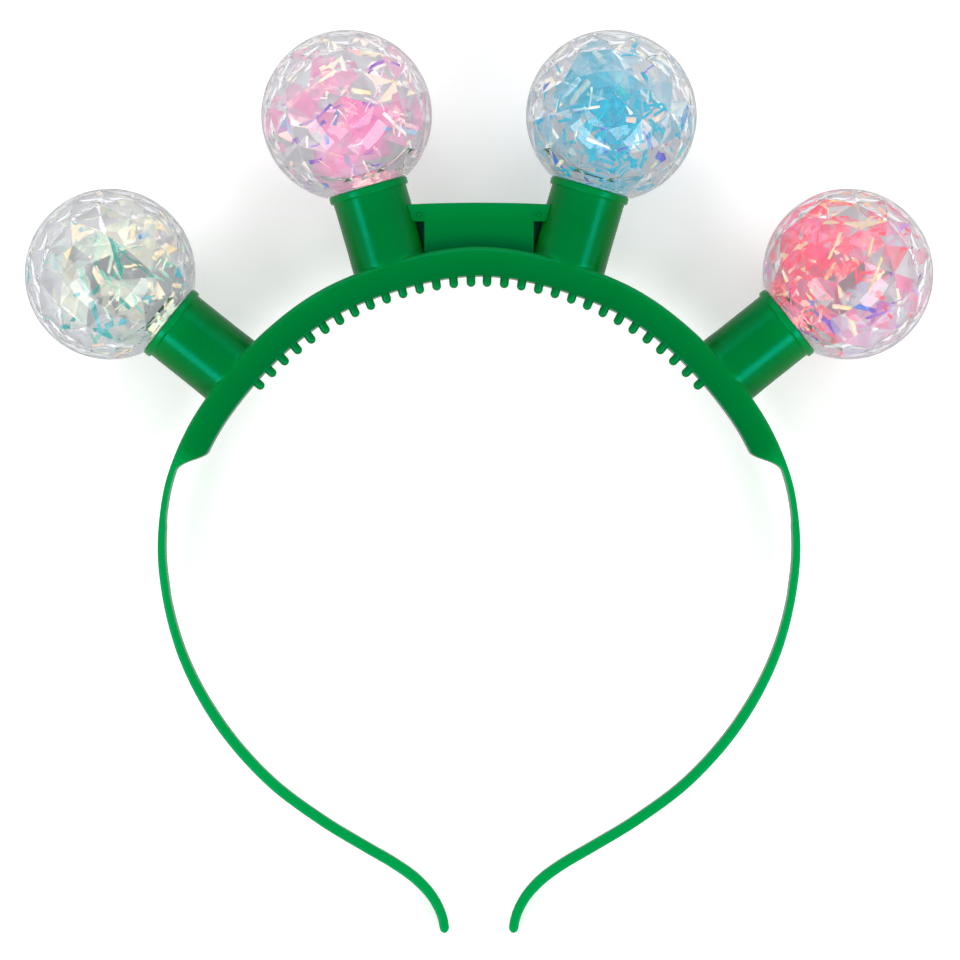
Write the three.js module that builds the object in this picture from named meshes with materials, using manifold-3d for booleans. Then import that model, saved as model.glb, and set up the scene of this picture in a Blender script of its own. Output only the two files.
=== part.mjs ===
// Light-up disco ball headband, in millimetres.
// A green moulded hoop with a deep crown carries four sockets, and in each socket sits a clear ball
// that is smooth outside, cut in facets inside and filled with strips of iridescent film.
// It is drawn flat first: X across, Y up to the crown's top, Z out of the front face, with the middle
// of the crown's arc at 0,0,0. Then it is laid down as it rests, on its outer balls and arm tips.
import * as THREE from "three";
import { mergeVertices } from "three/addons/utils/BufferGeometryUtils.js";
import Module from "manifold-3d";

const wasm = await Module();
wasm.setup();

const FIT_GAP = 0.3;

// Hoop
const CROWN_RADIUS = 72.55;
const CROWN_THICK = 6.6;
const CROWN_DEPTH = 17.2;
const CROWN_EDGE_ROUND = 1.3;
const CROWN_STEP_START = 66.4;
const CROWN_STEP_END = 72.2;
const ARM_EDGE_ROUND = 0.6;
const INNER_EDGE_ROUND = 0.35;
const TIP_DEPTH = 6.4;
const TIP_ROUND = 1.3;

// Outer edge of the right half, from the crown's top to the arm's tip: angle from the top, radius
const OUTER_EDGE = [
  { angle: 0, radius: CROWN_RADIUS },
  { angle: 25, radius: 72.05 },
  { angle: 41, radius: 72.05 },
  { angle: 60, radius: 72.7 },
  { angle: 72, radius: 73.25 },
  { angle: 80, radius: 73.0 },
  { angle: 90, radius: 72.25 },
  { angle: 105, radius: 70.8 },
  { angle: 120, radius: 69.45 },
  { angle: 135, radius: 68.55 },
  { angle: 148, radius: 68.25 },
  { angle: 158, radius: 69.15 },
  { angle: 163.8, radius: 70.55 },
  { angle: 168.2, radius: 72.75 },
  { angle: 171.3, radius: 75.75 },
  { angle: 173.2, radius: 79.4 },
  { angle: 174.0, radius: 83.0 },
];

// Thickness of the arm below the crown, with the thin grip pad on its inner side
const ARM_THICK = [
  { angle: 72, thick: 1.4 },
  { angle: 81, thick: 1.4 },
  { angle: 82.5, thick: 1.65 },
  { angle: 93.5, thick: 1.8 },
  { angle: 95, thick: 1.7 },
  { angle: 120, thick: 2.25 },
  { angle: 168, thick: 2.4 },
  { angle: 174, thick: 2.1 },
];

// Comb teeth, along the crown's inner front edge
const TEETH_A_SIDE = 15;
const TOOTH_FIRST_ANGLE = 1.6;
const TOOTH_PITCH_ANGLE = 3.464;
const TOOTH_LENGTH = 2.5;
const TOOTH_ROOT = 1.2;
const TOOTH_RADIUS = 1.0;
const TOOTH_SET_BACK = 0.1;

// Sockets, with heights measured out from the middle of the arc along each socket's own axis
const SOCKET_ANGLES = [-51.45, -16.3, 16.3, 51.45];
const SOCKET_FOOT = 68.5;
const SOCKET_FLOOR = 75;
const SOCKET_RIM = 89.5;
const SOCKET_RADIUS = 8.5;
const SOCKET_BORE = 7.2;
const LIP_RADIUS = 9.1;
const LIP_HEIGHT = 1.8;
const LIP_ROUND = 0.45;

// Battery box
const BOX_TOP = 82.1;
const BOX_TOP_ARCH = 0.4;
const BOX_EAR_BOTTOM = 78.2;
const BOX_BOTTOM = 70;
const BOX_HALF_WIDTH = 12.45;
const BOX_EAR_HALF_WIDTH = 16.4;
const BOX_FRONT = 4.4;
const BOX_BACK = -7.6;
const BOX_SLOT_FLOOR = -3.6;
const BOX_FLOOR_HALF_WIDTH = 15.4;
const BOX_BEVEL = 0.5;
const PIP_RADIUS = 0.5;
const PIP_X = 13.5;
const PIP_Y = 79.8;

// Balls, with heights measured from the ball's middle along its socket's axis
const BALL_PATH_RADIUS = 106.6;
const BALL_RADIUS = 19.3;
const BALL_SEAT = BALL_PATH_RADIUS - SOCKET_RIM - FIT_GAP;
const BALL_FLOOR = BALL_SEAT - 0.8;
const FACET_CORNER_RADIUS = 18.3;
const FACET_MIDDLE_RADIUS = 18.1;
const NECK_RADIUS = 6.9;
const NECK_BORE = 5.6;
const NECK_LENGTH = 8;
const NECK_ROOT = 1;

// Film strips
const FILM_STRIPS = 4;
const FILM_REACH = 17.2;
const FILM_WAVE = 2.4;
const FILM_WIDTH = 2.6;
const FILM_THICK = 0.4;
const FILM_BENDS = 4;

const GREEN = { color: 0x078a43, roughness: 0.28, metalness: 0 };
const CLEAR = { color: 0xdfe7ea, roughness: 0.05, metalness: 0, transparent: true, opacity: 0.35 };
const FILM_COLOURS = [0x9fd8cc, 0xf2a9cf, 0x5fc4e8, 0xff6f8f];

const { degToRad, radToDeg, clamp, lerp, smoothstep, smootherstep } = THREE.MathUtils;

// A closed geometry as a solid that can be cut and joined
function solidFrom(geometry) {
  const bare = geometry.clone();
  bare.deleteAttribute("normal");
  bare.deleteAttribute("uv");
  const merged = mergeVertices(bare, 1e-4);
  const mesh = new wasm.Mesh({
    numProp: 3,
    vertProperties: merged.attributes.position.array,
    triVerts: new Uint32Array(merged.index.array),
  });
  return new wasm.Manifold(mesh);
}

// A finished solid as a flat-shaded geometry
function geometryFrom(solid) {
  const mesh = solid.getMesh();
  const indexed = new THREE.BufferGeometry();
  indexed.setAttribute("position", new THREE.BufferAttribute(mesh.vertProperties, 3));
  indexed.setIndex(new THREE.BufferAttribute(mesh.triVerts, 1));
  const geometry = indexed.toNonIndexed();
  geometry.computeVertexNormals();
  return geometry;
}

// An upright round post between two heights
function post(radius, bottom, top, sides) {
  const geometry = new THREE.CylinderGeometry(radius, radius, top - bottom, sides);
  return geometry.translate(0, (bottom + top) / 2, 0);
}

function joined(solids) {
  return solids.reduce((whole, next) => whole.add(next));
}

// Points spread evenly over a stretch, without its far end
function evenly(start, end, count) {
  return Array.from({ length: count }, (_, i) => lerp(start, end, i / count));
}

// A table's column at an angle, in straight lines between its rows
function readTable(table, column, angle) {
  const after = table.findIndex((row) => row.angle >= angle);
  if (after === 0) return table[0][column];
  if (after < 0) return table[table.length - 1][column];
  const low = table[after - 1];
  const high = table[after];
  return lerp(low[column], high[column], (angle - low.angle) / (high.angle - low.angle));
}

// A skin stretched over a row of rings with the same number of points, closed at both ends
function loft(rings) {
  const count = rings[0].length;
  const last = (rings.length - 1) * count;
  const index = [];
  for (let start = 0; start < last; start += count) {
    for (let i = 0; i < count; i++) {
      const a = start + i;
      const b = start + ((i + 1) % count);
      index.push(a, b, a + count, b, b + count, a + count);
    }
  }
  for (let i = 1; i < count - 1; i++) {
    index.push(0, i + 1, i);
    index.push(last, last + i, last + i + 1);
  }
  const geometry = new THREE.BufferGeometry().setFromPoints(rings.flat());
  geometry.setIndex(index);
  return geometry;
}

// Hoop: a strip swept along its outer edge, deep at the crown and thin in the arms

function crownShare(angle) {
  return 1 - smoothstep(angle, CROWN_STEP_START, CROWN_STEP_END);
}

function hoopSection(edge, inward, { thick, depth, edgeRound, innerRound }) {
  const corners = [
    { down: edgeRound, round: edgeRound, from: 180, steps: 2 },
    { down: thick - innerRound, round: innerRound, from: 90, steps: 1 },
  ];
  const front = corners.flatMap(({ down, round, from, steps }) =>
    Array.from({ length: steps + 1 }, (_, i) => {
      const turn = degToRad(from - (90 * i) / steps);
      return {
        down: down + round * Math.cos(turn),
        out: depth / 2 - round + round * Math.sin(turn),
      };
    }),
  );
  const back = front.map(({ down, out }) => ({ down, out: -out })).reverse();
  return [...front, ...back].map(({ down, out }) =>
    edge.clone().addScaledVector(inward, down).setZ(out),
  );
}

function hoopSolid() {
  const rightKnots = OUTER_EDGE.map(({ angle, radius }) =>
    new THREE.Vector3(0, radius, 0).applyAxisAngle(new THREE.Vector3(0, 0, -1), degToRad(angle)),
  );
  const leftKnots = rightKnots.slice(1).map((knot) => new THREE.Vector3(-knot.x, knot.y, 0));
  const knots = [...leftKnots.reverse(), ...rightKnots];
  const path = new THREE.CatmullRomCurve3(knots, false, "centripetal");
  path.arcLengthDivisions = 1600;
  const length = path.getLength();
  const half = length / 2;
  const crownEnd = CROWN_RADIUS * degToRad(CROWN_STEP_START);
  const armStart = CROWN_RADIUS * degToRad(CROWN_STEP_END);
  const tipStart = half - TIP_ROUND;
  const walk = [
    ...evenly(0, crownEnd, 13),
    ...evenly(crownEnd, armStart, 8),
    ...evenly(armStart, tipStart, 22),
    ...[0, 0.5, 0.85, 1].map((share) => lerp(tipStart, half, share)),
  ];
  const stations = [...walk.slice(1).map((s) => -s).reverse(), ...walk];
  const sections = stations.map((s) => {
    const share = (half + s) / length;
    const edge = path.getPointAt(share);
    const along = path.getTangentAt(share);
    const inward = new THREE.Vector3(along.y, -along.x, 0);
    const angle = radToDeg(Math.atan2(Math.abs(edge.x), edge.y));
    const crown = crownShare(angle);
    const intoTip = clamp((Math.abs(s) - tipStart) / TIP_ROUND, 0, 1);
    const tip = Math.max(0.35, Math.sqrt(1 - intoTip * intoTip));
    const fullThick = lerp(readTable(ARM_THICK, "thick", angle), CROWN_THICK, crown);
    const fullDepth = lerp(CROWN_DEPTH, TIP_DEPTH, smootherstep(Math.abs(s), crownEnd, half));
    edge.addScaledVector(inward, (fullThick * (1 - tip)) / 2);
    return hoopSection(edge, inward, {
      thick: fullThick * tip,
      depth: fullDepth - TIP_ROUND * (1 - tip),
      edgeRound: lerp(ARM_EDGE_ROUND * tip, CROWN_EDGE_ROUND, crown),
      innerRound: INNER_EDGE_ROUND * tip,
    });
  });
  return solidFrom(loft(sections));
}

// Comb teeth: round-ended pegs, flush with the crown's front face

function toothSolids() {
  const profile = [
    [0, -TOOTH_LENGTH],
    [0.7 * TOOTH_RADIUS, -TOOTH_LENGTH + 0.3 * TOOTH_RADIUS],
    [TOOTH_RADIUS, -TOOTH_LENGTH + TOOTH_RADIUS],
    [TOOTH_RADIUS, TOOTH_ROOT],
    [0, TOOTH_ROOT],
  ].map(([radius, height]) => new THREE.Vector2(radius, height));
  const tooth = new THREE.LatheGeometry(profile, 8);
  tooth.translate(0, 0, CROWN_DEPTH / 2 - TOOTH_SET_BACK - TOOTH_RADIUS);
  const angles = Array.from(
    { length: TEETH_A_SIDE },
    (_, i) => TOOTH_FIRST_ANGLE + i * TOOTH_PITCH_ANGLE,
  );
  return [...angles, ...angles.map((angle) => -angle)].map((angle) => {
    const innerRadius = readTable(OUTER_EDGE, "radius", Math.abs(angle)) - CROWN_THICK;
    return solidFrom(tooth.clone().translate(0, innerRadius, 0).rotateZ(-degToRad(angle)));
  });
}

// Sockets: round cups standing on the crown, each with a lip round its rim

function socketSolid(angle) {
  const lipFoot = SOCKET_RIM - LIP_HEIGHT;
  const profile = [
    [0, SOCKET_FOOT],
    [SOCKET_RADIUS, SOCKET_FOOT],
    [SOCKET_RADIUS, lipFoot],
    [LIP_RADIUS, lipFoot + LIP_ROUND],
    [LIP_RADIUS, SOCKET_RIM - LIP_ROUND],
    [LIP_RADIUS - LIP_ROUND, SOCKET_RIM],
    [SOCKET_BORE, SOCKET_RIM],
    [SOCKET_BORE, SOCKET_FLOOR],
    [0, SOCKET_FLOOR],
  ].map(([radius, height]) => new THREE.Vector2(radius, height));
  return solidFrom(new THREE.LatheGeometry(profile, 24).rotateZ(-degToRad(angle)));
}

// Battery box: a T-shaped block between the inner sockets, with a slot down each side of its panel

function slab(outline, back, front, bevel) {
  const depth = front - back - 2 * bevel;
  const geometry = new THREE.ExtrudeGeometry(outline, {
    depth,
    curveSegments: 6,
    bevelSegments: 1,
    bevelSize: bevel,
    bevelThickness: bevel,
    bevelOffset: -bevel,
  });
  return solidFrom(geometry.translate(0, 0, back + bevel));
}

function boxOutline(halfWidth, bottom) {
  const outline = new THREE.Shape();
  outline.moveTo(-halfWidth, bottom);
  outline.lineTo(halfWidth, bottom);
  outline.lineTo(halfWidth, BOX_TOP);
  outline.quadraticCurveTo(0, BOX_TOP + 2 * BOX_TOP_ARCH, -halfWidth, BOX_TOP);
  return outline;
}

function socketRoom(angle) {
  const room = post(SOCKET_RADIUS + FIT_GAP, 0, SOCKET_RIM, 24);
  return solidFrom(room.rotateZ(-degToRad(angle)));
}

function crownRoom() {
  const room = post(CROWN_RADIUS + FIT_GAP, -CROWN_DEPTH, CROWN_DEPTH, 160);
  return solidFrom(room.rotateX(Math.PI / 2));
}

function batteryBoxSolid() {
  const panelOutline = boxOutline(BOX_HALF_WIDTH, BOX_BOTTOM);
  const earOutline = boxOutline(BOX_EAR_HALF_WIDTH, BOX_EAR_BOTTOM);
  const floorOutline = boxOutline(BOX_FLOOR_HALF_WIDTH, BOX_BOTTOM);
  const panel = slab(panelOutline, BOX_BACK, BOX_FRONT, BOX_BEVEL);
  const ears = slab(earOutline, BOX_BACK, BOX_FRONT, BOX_BEVEL);
  const slotFloor = slab(floorOutline, BOX_BACK, BOX_SLOT_FLOOR, BOX_BEVEL);
  const pips = [-PIP_X, PIP_X].map((x) =>
    solidFrom(new THREE.SphereGeometry(PIP_RADIUS, 10, 6).translate(x, PIP_Y, BOX_FRONT)),
  );
  const block = joined([panel, ears, slotFloor, ...pips]);
  const rooms = [crownRoom(), ...SOCKET_ANGLES.map(socketRoom)];
  return rooms.reduce((box, room) => box.subtract(room), block);
}

// Balls: hollow globes with a star-cut inside, a flat seat on the rim and an open neck down the socket

function starCutGeometry() {
  const corners = new THREE.IcosahedronGeometry(FACET_CORNER_RADIUS, 1).getAttribute("position");
  const points = [];
  for (let i = 0; i < corners.count; i += 3) {
    const [a, b, c] = [i, i + 1, i + 2].map((at) =>
      new THREE.Vector3().fromBufferAttribute(corners, at),
    );
    const middle = a.clone().add(b).add(c).setLength(FACET_MIDDLE_RADIUS);
    points.push(a, b, middle, b, c, middle, c, a, middle);
  }
  return new THREE.BufferGeometry().setFromPoints(points);
}

function ballGeometry() {
  const globe = solidFrom(new THREE.SphereGeometry(BALL_RADIUS, 24, 14));
  const neckEnd = -BALL_SEAT - NECK_LENGTH;
  const belowSeat = post(BALL_RADIUS, -2 * BALL_RADIUS, -BALL_SEAT, 24);
  const belowFloor = post(BALL_RADIUS, -2 * BALL_RADIUS, -BALL_FLOOR, 24);
  const hollow = solidFrom(starCutGeometry()).subtract(solidFrom(belowFloor));
  const neck = post(NECK_RADIUS, neckEnd, -BALL_SEAT + NECK_ROOT, 20);
  const bore = post(NECK_BORE, neckEnd - NECK_ROOT, -BALL_SEAT / 2, 20);
  const shell = globe
    .subtract(solidFrom(belowSeat))
    .add(solidFrom(neck))
    .subtract(hollow)
    .subtract(solidFrom(bore));
  return geometryFrom(shell);
}

// Film: wavy strips that cross in the middle of the ball and reach nearly to its inside

function filmStripGeometry() {
  const wave = (share) => FILM_WAVE * Math.sin(share * Math.PI);
  const shares = Array.from({ length: FILM_BENDS + 1 }, (_, i) => (2 * i) / FILM_BENDS - 1);
  const line = (offset) => shares.map((s) => new THREE.Vector2(s * FILM_REACH, wave(s) + offset));
  const outline = new THREE.Shape([...line(-FILM_THICK / 2), ...line(FILM_THICK / 2).reverse()]);
  const strip = new THREE.ExtrudeGeometry(outline, { depth: FILM_WIDTH, bevelEnabled: false });
  return strip.translate(0, 0, -FILM_WIDTH / 2);
}

function filmGeometry(ballNumber) {
  const goldenTurn = Math.PI * (3 - Math.sqrt(5));
  const strips = Array.from({ length: FILM_STRIPS }, (_, i) => {
    const height = (i + 0.5) / FILM_STRIPS;
    const turn = goldenTurn * (i + ballNumber * 2.3);
    const flat = Math.sqrt(1 - height * height);
    const along = new THREE.Vector3(flat * Math.cos(turn), height, flat * Math.sin(turn));
    const lean = new THREE.Quaternion().setFromUnitVectors(new THREE.Vector3(1, 0, 0), along);
    const roll = new THREE.Quaternion().setFromAxisAngle(along, turn * 1.7);
    return solidFrom(filmStripGeometry().applyQuaternion(lean).applyQuaternion(roll));
  });
  return geometryFrom(joined(strips));
}

// Assembly

function piece(name, geometry, look) {
  const mesh = new THREE.Mesh(geometry, new THREE.MeshStandardMaterial(look));
  mesh.name = name;
  return mesh;
}

const laidDown = new THREE.Group();
laidDown.name = "laid_down";

const hoopParts = [hoopSolid(), ...SOCKET_ANGLES.map(socketSolid), ...toothSolids()];
const headband = piece("headband", geometryFrom(joined(hoopParts)), GREEN);
const batteryBox = piece("battery_box", geometryFrom(batteryBoxSolid()), GREEN);
laidDown.add(headband, batteryBox);

const ballShell = ballGeometry();
SOCKET_ANGLES.forEach((angle, i) => {
  const station = new THREE.Group();
  station.rotation.z = -degToRad(angle);
  const ball = piece(`ball_${i + 1}`, ballShell, CLEAR);
  const filmLook = { color: FILM_COLOURS[i], roughness: 0.2, metalness: 0.1 };
  const film = piece(`film_${i + 1}`, filmGeometry(i), filmLook);
  ball.position.y = BALL_PATH_RADIUS;
  film.position.y = BALL_PATH_RADIUS;
  station.add(ball, film);
  laidDown.add(station);
});

// Resting tilt: the front face looks up, and the outer balls and the arm tips touch the table together

function lowestPoint(geometry, tilt) {
  const points = geometry.getAttribute("position");
  let lowest = null;
  for (let i = 0; i < points.count; i++) {
    const y = points.getY(i);
    const z = points.getZ(i);
    const height = y * Math.sin(tilt) + z * Math.cos(tilt);
    if (!lowest || height < lowest.height) lowest = { y, z, height };
  }
  return lowest;
}

const outerBall = { y: BALL_PATH_RADIUS * Math.cos(degToRad(SOCKET_ANGLES[3])), z: -BALL_RADIUS };
let tilt = degToRad(6);
for (let pass = 0; pass < 6; pass++) {
  const tip = lowestPoint(headband.geometry, tilt);
  tilt = Math.atan((tip.z - outerBall.z) / (outerBall.y - tip.y));
}
laidDown.rotation.x = tilt;
laidDown.updateMatrixWorld(true);
const extent = new THREE.Box3().setFromObject(laidDown, true);
const middle = extent.getCenter(new THREE.Vector3());
laidDown.position.set(-middle.x, -middle.y, -extent.min.z);

const discoBallHeadband = new THREE.Group();
discoBallHeadband.name = "disco_ball_headband";
discoBallHeadband.add(laidDown);

export default discoBallHeadband;
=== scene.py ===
import math

import bpy
import numpy as np
from mathutils import Matrix, Vector


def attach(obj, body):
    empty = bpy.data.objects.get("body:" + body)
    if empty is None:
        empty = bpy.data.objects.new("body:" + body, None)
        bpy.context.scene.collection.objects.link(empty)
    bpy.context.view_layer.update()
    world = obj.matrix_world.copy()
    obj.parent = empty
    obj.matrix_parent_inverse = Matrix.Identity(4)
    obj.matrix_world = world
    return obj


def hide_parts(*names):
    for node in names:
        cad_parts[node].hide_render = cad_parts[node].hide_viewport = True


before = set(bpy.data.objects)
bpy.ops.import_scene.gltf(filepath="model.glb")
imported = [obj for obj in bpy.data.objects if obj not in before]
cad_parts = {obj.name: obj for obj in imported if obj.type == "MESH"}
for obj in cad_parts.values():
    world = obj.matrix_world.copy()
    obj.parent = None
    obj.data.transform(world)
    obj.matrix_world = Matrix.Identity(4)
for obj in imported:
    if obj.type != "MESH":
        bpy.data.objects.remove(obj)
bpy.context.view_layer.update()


# Headband: one moulding in a glossy green plastic that lets a little light through where it is thin, and
# whose colour carries painted light and shade: lighter in the arms, along the crown's outer edge, on the
# teeth and up towards the socket rims, darker towards the crown's inner edge.
# A strip is bent into a hoop, deep and thick at the crown and springy in the arms. The ball sockets
# stand on the crown and a row of comb teeth hangs along its inner front edge, all cast in one piece.
MM = 0.001
LYING_TILT = math.radians(6.2248)
LYING_SHIFT = (0, -19.366, 11.983)
lying_down = Matrix.Scale(MM, 4) @ Matrix.Translation(LYING_SHIFT) @ Matrix.Rotation(LYING_TILT, 4, "X")

CROWN_THICK = 6.6
CROWN_DEPTH = 17.2
CROWN_STEP = (66.4, 72.2)
TIP_DEPTH = 6.4
TIP_ROUND = 1.3
CROWN_ROUND = 1.3
ARM_ROUND = 0.6
INNER_ROUND = 0.35
# degrees from the top, distance of the outer edge from the hoop's middle
HOOP_EDGE = [
    (0, 72.55), (25, 72.05), (41, 72.05), (60, 72.7), (72, 73.25), (80, 73.0), (90, 72.25),
    (105, 70.8), (120, 69.45), (135, 68.55), (148, 68.25), (158, 69.15), (163.8, 70.55),
    (168.2, 72.75), (171.3, 75.75), (173.2, 79.4), (174.0, 83.0),
]
# degrees from the top, thickness of the arm, with the thin pad where it grips
ARM_THICK = [
    (72, 1.4), (81, 1.4), (82.5, 1.65), (93.5, 1.8), (95, 1.7), (120, 2.25), (168, 2.4), (174, 2.1),
]
SOCKET_ANGLES = (-51.45, -16.3, 16.3, 51.45)
SOCKET_RADIUS = 8.5
SOCKET_BORE = 7.2
SOCKET_FOOT = 68.5
FOOT_RADIUS = 8.58
SOCKET_FLOOR = 75
SOCKET_RIM = 89.75
SOCKET_LIP = 1.8
LIP_ROUND = 0.45
TOOTH_ANGLES = [1.6 + 3.464 * i for i in range(15)]
TOOTH_LENGTH = 2.5
TOOTH_ROUND = 1.0
TOOTH_ROOT = 1.2
TOOTH_BACK = 0.1


def ease(value, start, end):
    share = np.clip((value - start) / (end - start), 0, 1)
    return share * share * (3 - 2 * share)


def slow_ease(value, start, end):
    share = np.clip((value - start) / (end - start), 0, 1)
    return share ** 3 * (share * (share * 6 - 15) + 10)


def hoop_line(knots, steps=40):
    ends = [2 * knots[0] - knots[1], *knots, 2 * knots[-1] - knots[-2]]
    line = []
    for a, b, c, d in zip(ends, ends[1:], ends[2:], ends[3:]):
        ab, bc, cd = (math.sqrt(np.linalg.norm(q - p)) for p, q in ((a, b), (b, c), (c, d)))
        leave = bc * ((b - a) / ab - (c - a) / (ab + bc)) + c - b
        arrive = bc * ((d - c) / cd - (d - b) / (bc + cd)) + c - b
        for t in np.arange(steps) / steps:
            near = (2 * t ** 3 - 3 * t ** 2 + 1) * b + (t ** 3 - 2 * t ** 2 + t) * leave
            far = (3 * t ** 2 - 2 * t ** 3) * c + (t ** 3 - t ** 2) * arrive
            line.append(near + far)
    return np.array([*line, knots[-1]])


def strip_section(thick, depth, outer_round, inner_round):
    corners = ((outer_round, outer_round, 180, 6), (thick - inner_round, inner_round, 90, 3))
    rows = []
    for down, size, start, steps in corners:
        for turn in np.radians(np.linspace(start, start - 90, steps + 1)):
            rows.append((down + size * math.cos(turn), depth / 2 - size + size * math.sin(turn)))
    return rows + [(down, -out) for down, out in reversed(rows)]


def skin_over(rings):
    count = len(rings[0])
    faces = []
    for start in range(0, (len(rings) - 1) * count, count):
        for i in range(count):
            a, b = start + i, start + (i + 1) % count
            faces.append((a, b, b + count, a + count))
    last = (len(rings) - 1) * count
    faces.append(tuple(reversed(range(count))))
    faces.append(tuple(range(last, last + count)))
    return [tuple(p) for ring in rings for p in ring], faces


def hoop_edge_line():
    right = np.array([(r * math.sin(math.radians(a)), r * math.cos(math.radians(a))) for a, r in HOOP_EDGE])
    return hoop_line(np.vstack([right[:0:-1] * (-1, 1), right]))


def hoop_shell():
    line = hoop_edge_line()
    run = np.concatenate([[0], np.cumsum(np.linalg.norm(np.diff(line, axis=0), axis=1))])
    half = run[-1] / 2
    crown_end, arm_start = (HOOP_EDGE[0][1] * math.radians(a) for a in CROWN_STEP)
    tip_start = half - TIP_ROUND
    walk = np.concatenate([
        np.linspace(0, crown_end, 48, endpoint=False),
        np.linspace(crown_end, arm_start, 20, endpoint=False),
        np.linspace(arm_start, tip_start, 90, endpoint=False),
        tip_start + TIP_ROUND * np.sin(np.linspace(0, math.pi / 2, 8)),
    ])
    rings = []
    for s in np.concatenate([-walk[:0:-1], walk]):
        at = np.clip(half + s, 0, run[-1])
        edge, ahead, behind = (
            np.array([np.interp(p, run, line[:, k]) for k in (0, 1)])
            for p in (at, min(at + 0.3, run[-1]), max(at - 0.3, 0))
        )
        along = (ahead - behind) / np.linalg.norm(ahead - behind)
        inward = np.array([along[1], -along[0]])
        angle = math.degrees(math.atan2(abs(edge[0]), edge[1]))
        crown = 1 - ease(angle, *CROWN_STEP)
        into_tip = np.clip((abs(s) - tip_start) / TIP_ROUND, 0, 1)
        tip = max(0.3, math.sqrt(1 - into_tip ** 2))
        arm = np.interp(angle, *zip(*ARM_THICK))
        thick = arm + (CROWN_THICK - arm) * crown
        depth = CROWN_DEPTH + (TIP_DEPTH - CROWN_DEPTH) * slow_ease(abs(s), crown_end, half)
        edge = edge + inward * thick * (1 - tip) / 2
        outer_round = ARM_ROUND * tip + (CROWN_ROUND - ARM_ROUND * tip) * crown
        section = strip_section(thick * tip, depth - TIP_ROUND * (1 - tip), outer_round, INNER_ROUND * tip)
        rings.append([(*(edge + inward * down), out) for down, out in section])
    return skin_over(rings)


def turned(profile, sides, angle, shift_y=0.0, shift_z=0.0):
    """A closed profile of (radius, height) turned round an upright axis, then leaned by angle."""
    lean_cos, lean_sin = math.cos(math.radians(-angle)), math.sin(math.radians(-angle))
    points, rows, faces = [], [], []
    for radius, height in profile:
        row = []
        for i in range(sides if radius > 0 else 1):
            turn = 2 * math.pi * i / sides
            x, y, z = radius * math.cos(turn), height + shift_y, -radius * math.sin(turn) + shift_z
            row.append(len(points))
            points.append((x * lean_cos - y * lean_sin, x * lean_sin + y * lean_cos, z))
        rows.append(row)
    for low, high in zip(rows, rows[1:]):
        for i in range(sides):
            j = (i + 1) % sides
            if len(low) == 1:
                faces.append((low[0], high[j], high[i]))
            elif len(high) == 1:
                faces.append((low[i], low[j], high[0]))
            else:
                faces.append((low[i], low[j], high[j], high[i]))
    return points, faces


def quarter(radius, height, size, start, end, steps):
    return [
        (radius + size * math.cos(t), height + size * math.sin(t))
        for t in np.radians(np.linspace(start, end, steps + 1))
    ]


def socket_shell(angle):
    lip = SOCKET_RIM - SOCKET_LIP
    profile = [(0, SOCKET_FOOT), (FOOT_RADIUS, SOCKET_FOOT), (FOOT_RADIUS, 73), (SOCKET_RADIUS, 76)]
    profile += [(SOCKET_RADIUS, 82), (SOCKET_RADIUS, lip - 0.15), (SOCKET_RADIUS + 0.1, lip)]
    profile += quarter(SOCKET_RADIUS + 0.15, lip + LIP_ROUND, LIP_ROUND, -70, 0, 4)
    profile += quarter(SOCKET_RADIUS + 0.15, SOCKET_RIM - LIP_ROUND, LIP_ROUND, 0, 90, 5)
    profile += [(SOCKET_BORE + 0.15, SOCKET_RIM), (SOCKET_BORE, SOCKET_RIM - 0.15)]
    profile += [(SOCKET_BORE, SOCKET_FLOOR), (0, SOCKET_FLOOR)]
    return turned(profile, 96, angle)


def tooth_shell(angle):
    root = np.interp(abs(angle), *zip(*HOOP_EDGE)) - CROWN_THICK
    profile = [(0, -TOOTH_LENGTH)] + quarter(0, TOOTH_ROUND - TOOTH_LENGTH, TOOTH_ROUND, -75, 0, 5)
    profile += [(TOOTH_ROUND, 0.2), (TOOTH_ROUND, TOOTH_ROOT), (0, TOOTH_ROOT)]
    return turned(profile, 20, angle, shift_y=root, shift_z=CROWN_DEPTH / 2 - TOOTH_BACK - TOOTH_ROUND)


def mesh_object(name, shells):
    points, faces = [], []
    for shell_points, shell_faces in shells:
        faces += [tuple(i + len(points) for i in face) for face in shell_faces]
        points += shell_points
    mesh = bpy.data.meshes.new(name)
    mesh.from_pydata(points, [], faces)
    obj = bpy.data.objects.new(name, mesh)
    bpy.context.scene.collection.objects.link(obj)
    return obj


def combine(obj, tool, operation="UNION"):
    """Casts the tool's form into the object, or cuts it out."""
    step = obj.modifiers.new("combine", "BOOLEAN")
    step.operation = operation
    step.solver = "MANIFOLD"
    step.object = tool
    made = bpy.data.meshes.new_from_object(obj.evaluated_get(bpy.context.evaluated_depsgraph_get()))
    made.name = obj.name
    made.materials.clear()
    obj.modifiers.clear()
    obj.data = made
    bpy.data.objects.remove(tool)


def polish(obj, crease):
    """Smooth shading that keeps real corners, with flat faces shaded flat."""
    obj.data.shade_smooth()
    obj.data.set_sharp_from_angle(angle=math.radians(crease))
    flat = obj.modifiers.new("flat_faces", "WEIGHTED_NORMAL")
    flat.keep_sharp = True


def add_node(tree, kind, **settings):
    node = tree.nodes.new(kind)
    for name, value in settings.items():
        if hasattr(node, name):
            setattr(node, name, value)
        else:
            node.inputs[name.replace("_", " ")].default_value = value
    return node


def colour(*red_green_blue):
    """An 8-bit screen colour as light."""
    shares = [c / 255 for c in red_green_blue]
    return (*(((s + 0.055) / 1.055) ** 2.4 if s > 0.04 else s / 12.92 for s in shares), 1)


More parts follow.
